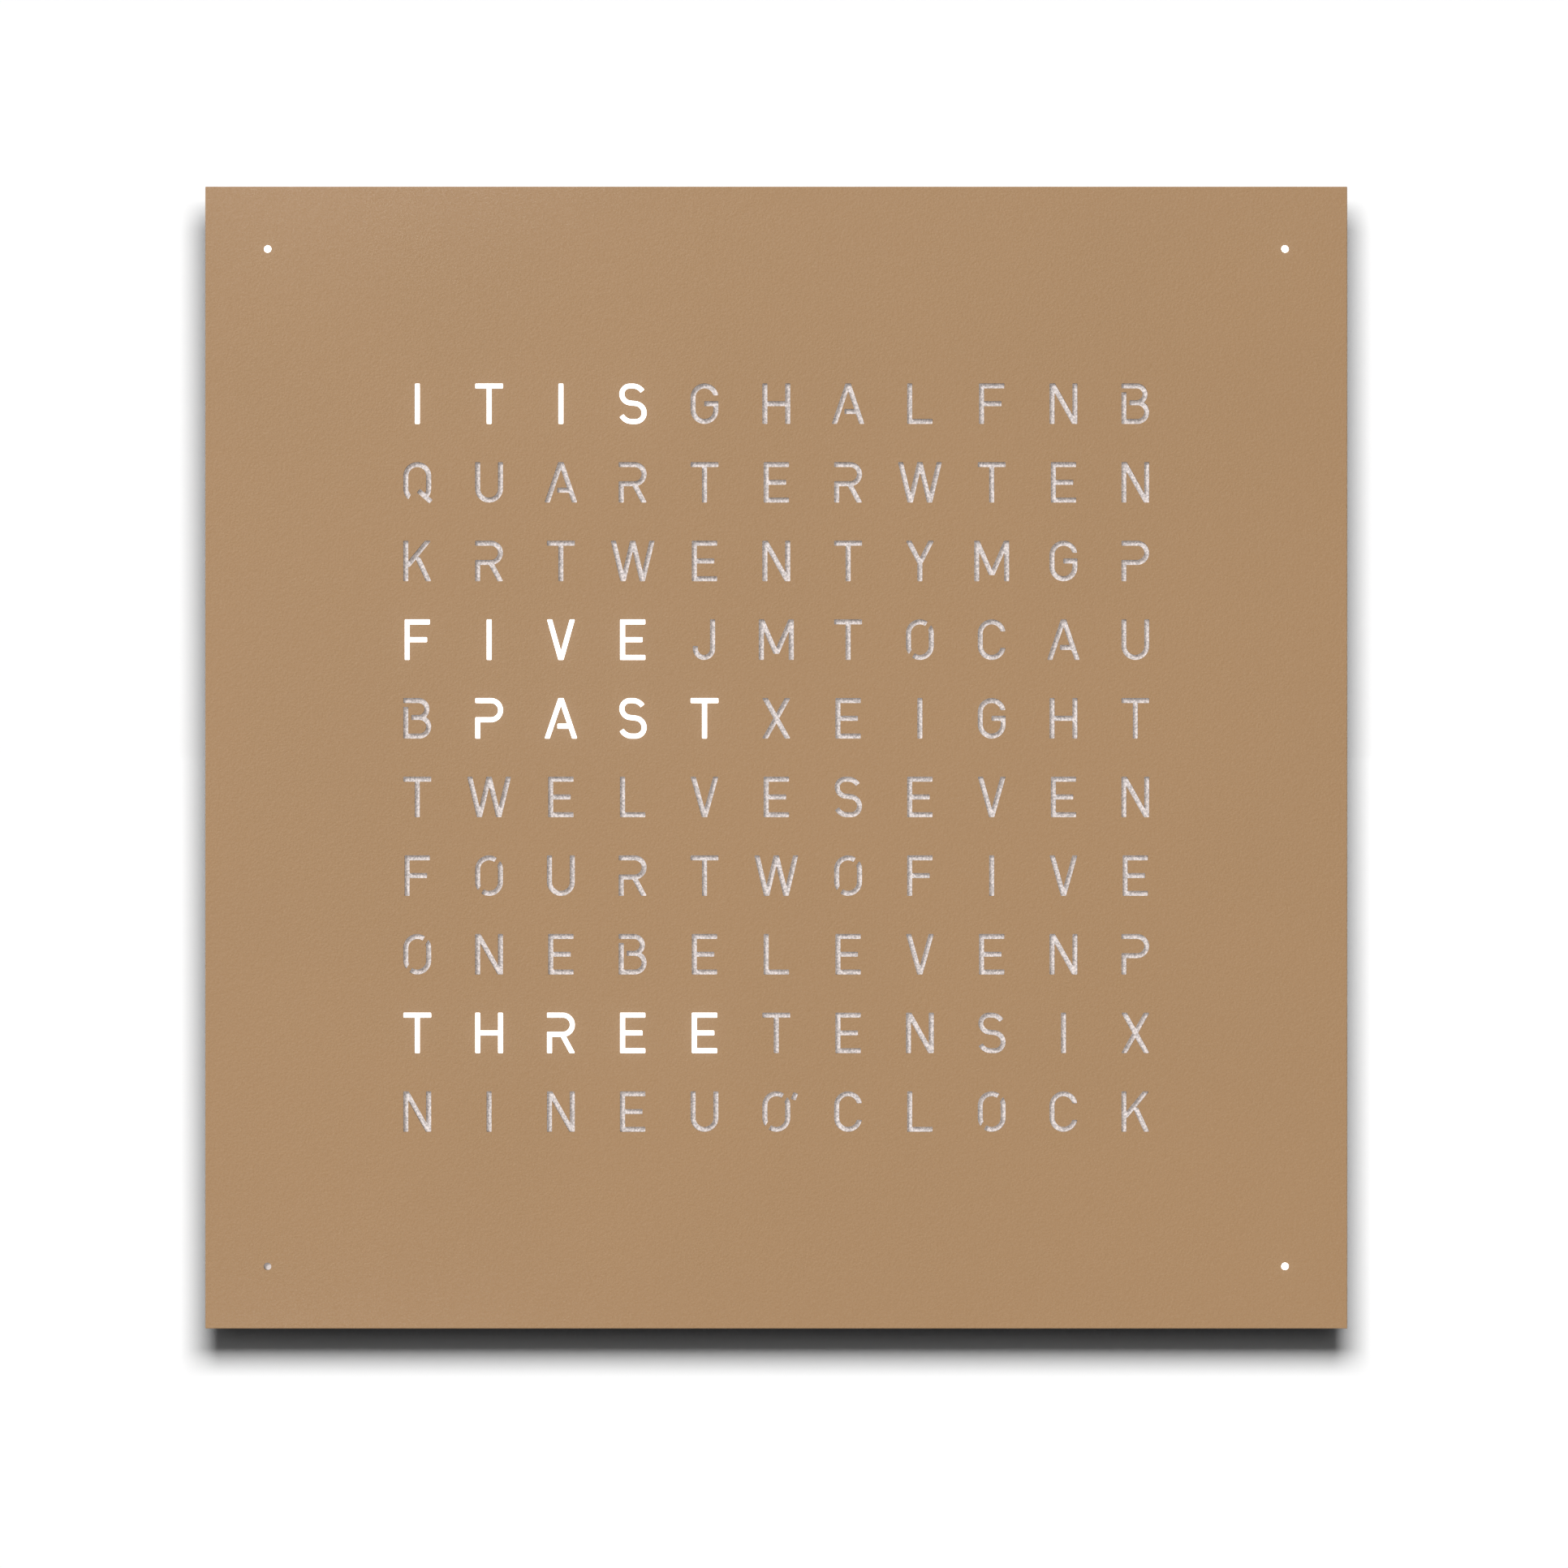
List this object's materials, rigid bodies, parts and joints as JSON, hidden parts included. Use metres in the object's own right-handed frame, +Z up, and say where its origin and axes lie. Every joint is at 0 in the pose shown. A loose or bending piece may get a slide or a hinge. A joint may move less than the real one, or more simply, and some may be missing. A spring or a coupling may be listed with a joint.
{
  "type": "word clock",
  "caption": "Square wall clock that tells the time in backlit words, with a lift-off pierced steel front plate on a flat housing with side buttons, power inlet and keyhole hangers.",
  "frame": {"origin": "middle of the dial on the wall plane, where the four rubber bumpers touch the wall", "axes": "+X to the right as a reader sees the dial, +Y into the wall, +Z up. The letters face -Y"},
  "size_m": [0.45, 0.02, 0.45],
  "materials": {
    "plate_paint": "fine textured powder coat, tan metallic",
    "stud_steel": "satin",
    "opal_sheet": "opal acrylic, satin",
    "grid_plastic": "moulded, matt",
    "board_laminate": "solder resist, semi-gloss",
    "lamp_body": "moulded, glossy",
    "spacer_nylon": "natural nylon",
    "screw_steel": "zinc plated",
    "bezel_plastic": "moulded, fine grain",
    "magnet_plate": "nickel plated",
    "bush_nylon": "natural nylon",
    "well_plastic": "moulded, matt",
    "clear_lens": "clear acrylic, polished",
    "lead_jacket": "flat jacketed lead",
    "rail_metal": "black anodised",
    "key_steel": "zinc plated",
    "panel_metal": "black powder coat",
    "bumper_rubber": "soft matt",
    "chip_body": "moulded, matt",
    "crystal_can": "drawn can",
    "capacitor_can": "satin can",
    "holder_plastic": "moulded, matt",
    "cell_steel": "polished",
    "jack_plastic": "moulded",
    "pin_nickel": "nickel plated",
    "ribbon_jacket": "flat ribbon",
    "ferrite": "sintered, matt",
    "coil_copper": "enamelled copper wire",
    "button_plastic": "moulded, satin",
    "switch_plastic": "moulded, matt"
  },
  "bodies": {
    "housing": {"diffuser_sheet": "opal_sheet", "light_grid": "grid_plastic", "led_board": "board_laminate", "letter_leds": "lamp_body", "board_standoffs": "spacer_nylon", "board_screws": "screw_steel", "bezel_top": "bezel_plastic", "bezel_bottom": "bezel_plastic", "bezel_left": "bezel_plastic", "bezel_right": "bezel_plastic", "bezel_screws": "screw_steel", "cover_magnets": "magnet_plate", "stud_bushes": "bush_nylon", "minute_boards": "board_laminate", "minute_leds": "lamp_body", "light_wells": "well_plastic", "minute_lenses": "clear_lens", "minute_leads": "lead_jacket", "rail_top": "rail_metal", "rail_bottom": "rail_metal", "rail_left": "rail_metal", "rail_right": "rail_metal", "corner_keys": "key_steel", "corner_key_screws": "screw_steel", "rear_panel": "panel_metal", "rear_panel_screws": "screw_steel", "wall_bumpers": "bumper_rubber", "control_board": "board_laminate", "control_standoffs": "spacer_nylon", "control_screws": "screw_steel", "microcontroller": "chip_body", "led_driver_chips": "chip_body", "clock_crystal": "crystal_can", "smoothing_capacitors": "capacitor_can", "radio_receiver": "chip_body", "battery_holder": "holder_plastic", "backup_cell": "cell_steel", "dc_jack": "jack_plastic", "jack_pin": "pin_nickel", "ribbon_sockets": "holder_plastic", "ribbon_cable": "ribbon_jacket", "ferrite_antenna": "ferrite", "antenna_coil": "coil_copper", "antenna_cradles": "spacer_nylon", "button_board": "board_laminate", "tact_switches": "switch_plastic", "sensor_board": "board_laminate", "sensor_chip": "chip_body", "sensor_light_pipe": "clear_lens"},
    "front_cover": {"front_cover": "plate_paint", "cover_studs": "stud_steel"},
    "hour_button": {"hour_button": "button_plastic", "hour_plunger": "switch_plastic"},
    "minute_button": {"minute_button": "button_plastic", "minute_plunger": "switch_plastic"},
    "mode_button": {"mode_button": "button_plastic", "mode_plunger": "switch_plastic"}
  },
  "joints": [
    {"name": "front_cover_lift_off", "type": "slide", "parent": "housing", "child": "front_cover", "axis": [0, -1, 0], "range_m": [0, 0.06]},
    {"name": "hour_button_press", "type": "slide", "parent": "housing", "child": "hour_button", "axis": [-1, 0, 0], "range_m": [0, 0.0008], "stiffness_N_per_m": 1500, "springref_m": -0.0005},
    {"name": "minute_button_press", "type": "slide", "parent": "housing", "child": "minute_button", "axis": [-1, 0, 0], "range_m": [0, 0.0008], "stiffness_N_per_m": 1500, "springref_m": -0.0005},
    {"name": "mode_button_press", "type": "slide", "parent": "housing", "child": "mode_button", "axis": [-1, 0, 0], "range_m": [0, 0.0008], "stiffness_N_per_m": 1500, "springref_m": -0.0005}
  ]
}
